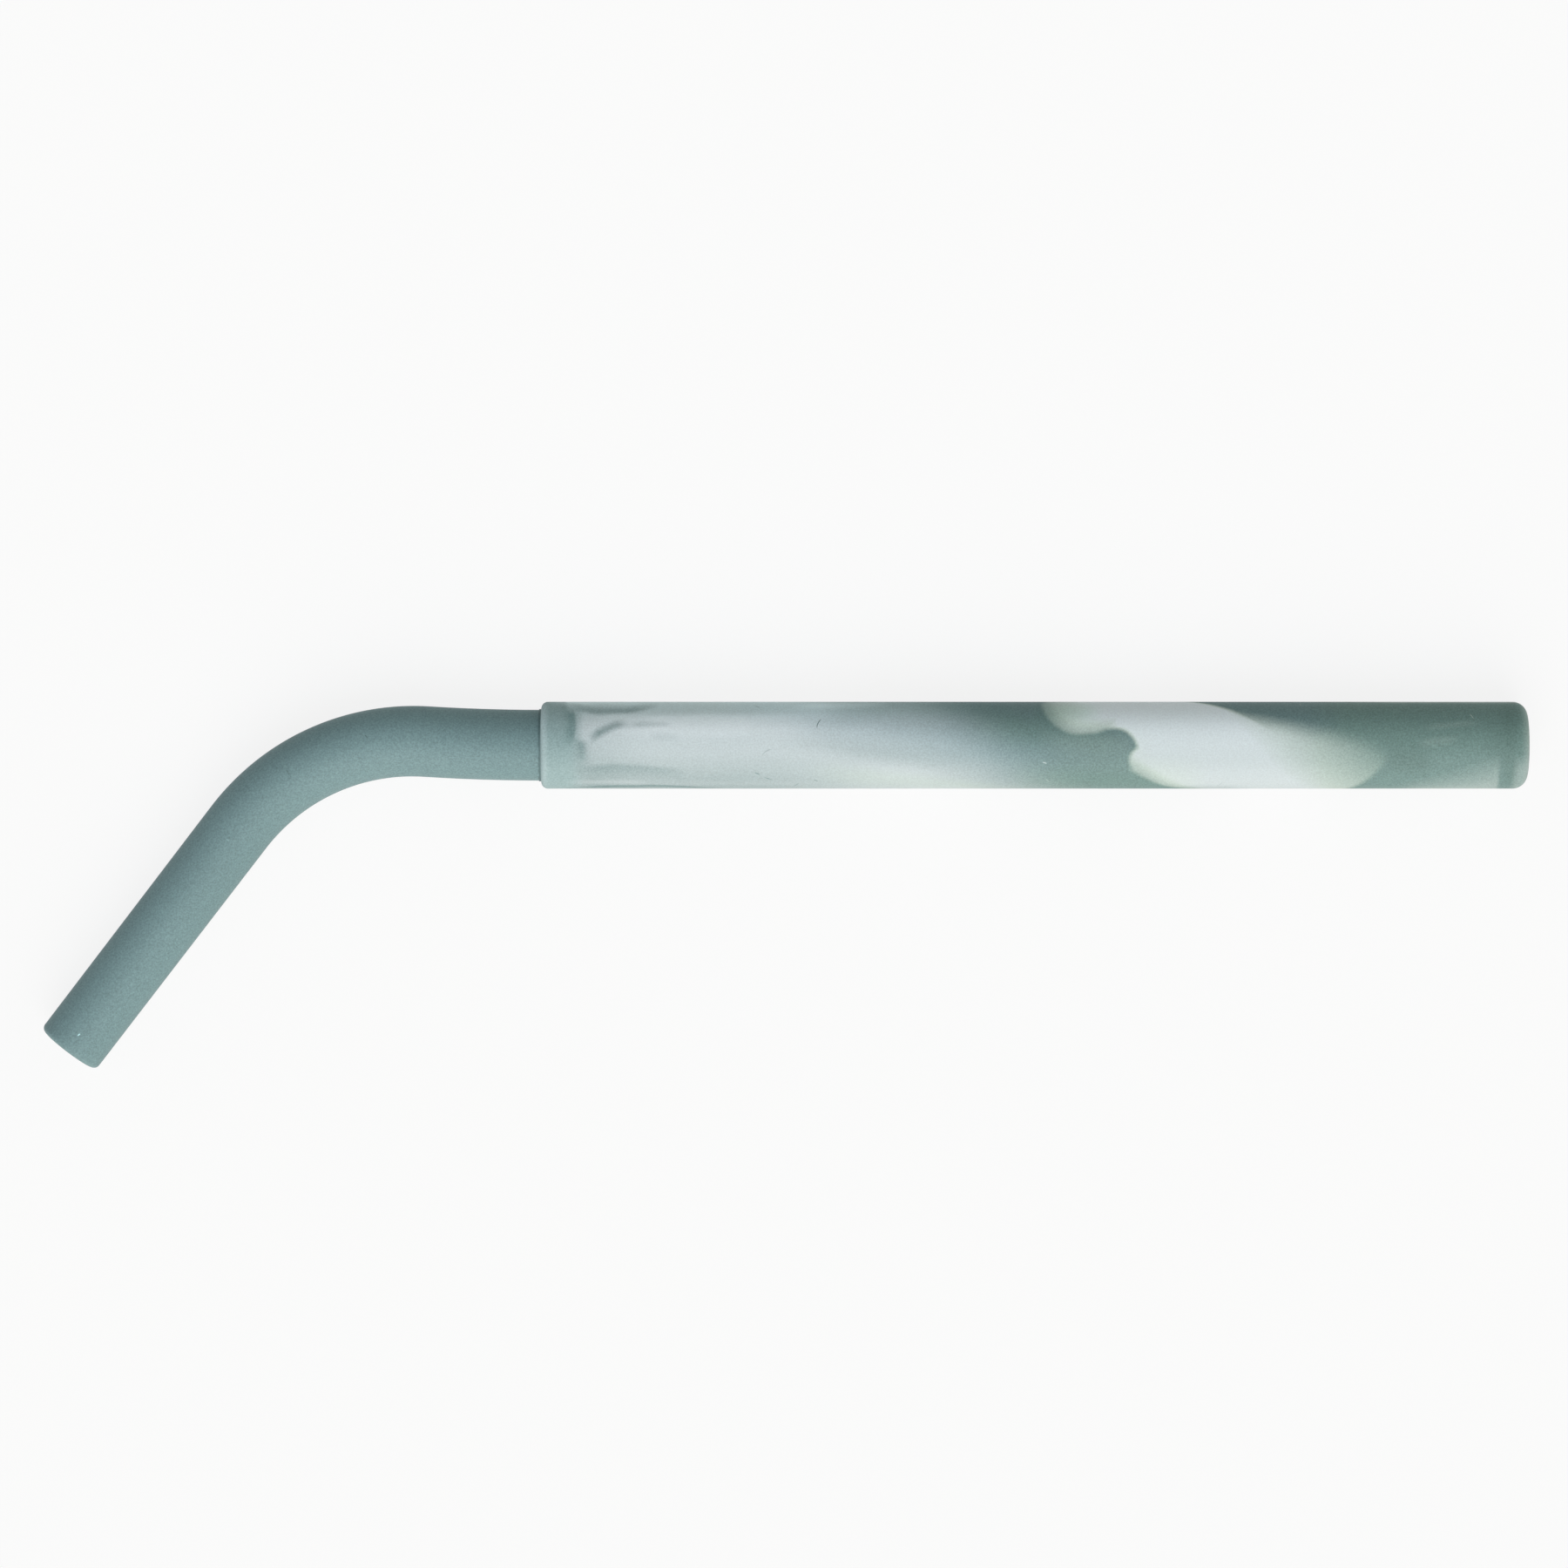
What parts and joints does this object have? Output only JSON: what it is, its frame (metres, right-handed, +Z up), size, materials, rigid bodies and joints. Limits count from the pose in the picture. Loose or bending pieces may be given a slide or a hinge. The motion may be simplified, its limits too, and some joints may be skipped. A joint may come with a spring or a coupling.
{
  "type": "silicone straw",
  "caption": "Reusable silicone drinking straw: a bent mouthpiece tube pushed into the socket of a straight marbled stem, and pulled out of it for washing.",
  "frame": {"origin": "middle of the footprint of the straw as it lies, on the table", "axes": "+X along the stem from its lip to its foot, +Z up from the table, and the mouthpiece bends away towards -Y"},
  "size_m": [0.2048, 0.0506, 0.012],
  "materials": {
    "marbled_silicone": "satin",
    "grey_silicone": "satin"
  },
  "bodies": {
    "stem": {"stem": "marbled_silicone"},
    "mouthpiece": {"mouthpiece": "grey_silicone"}
  },
  "joints": [
    {"name": "mouthpiece_slide", "type": "slide", "parent": "stem", "child": "mouthpiece", "axis": [-1, 0, 0], "range_m": [0, 0.057]}
  ]
}
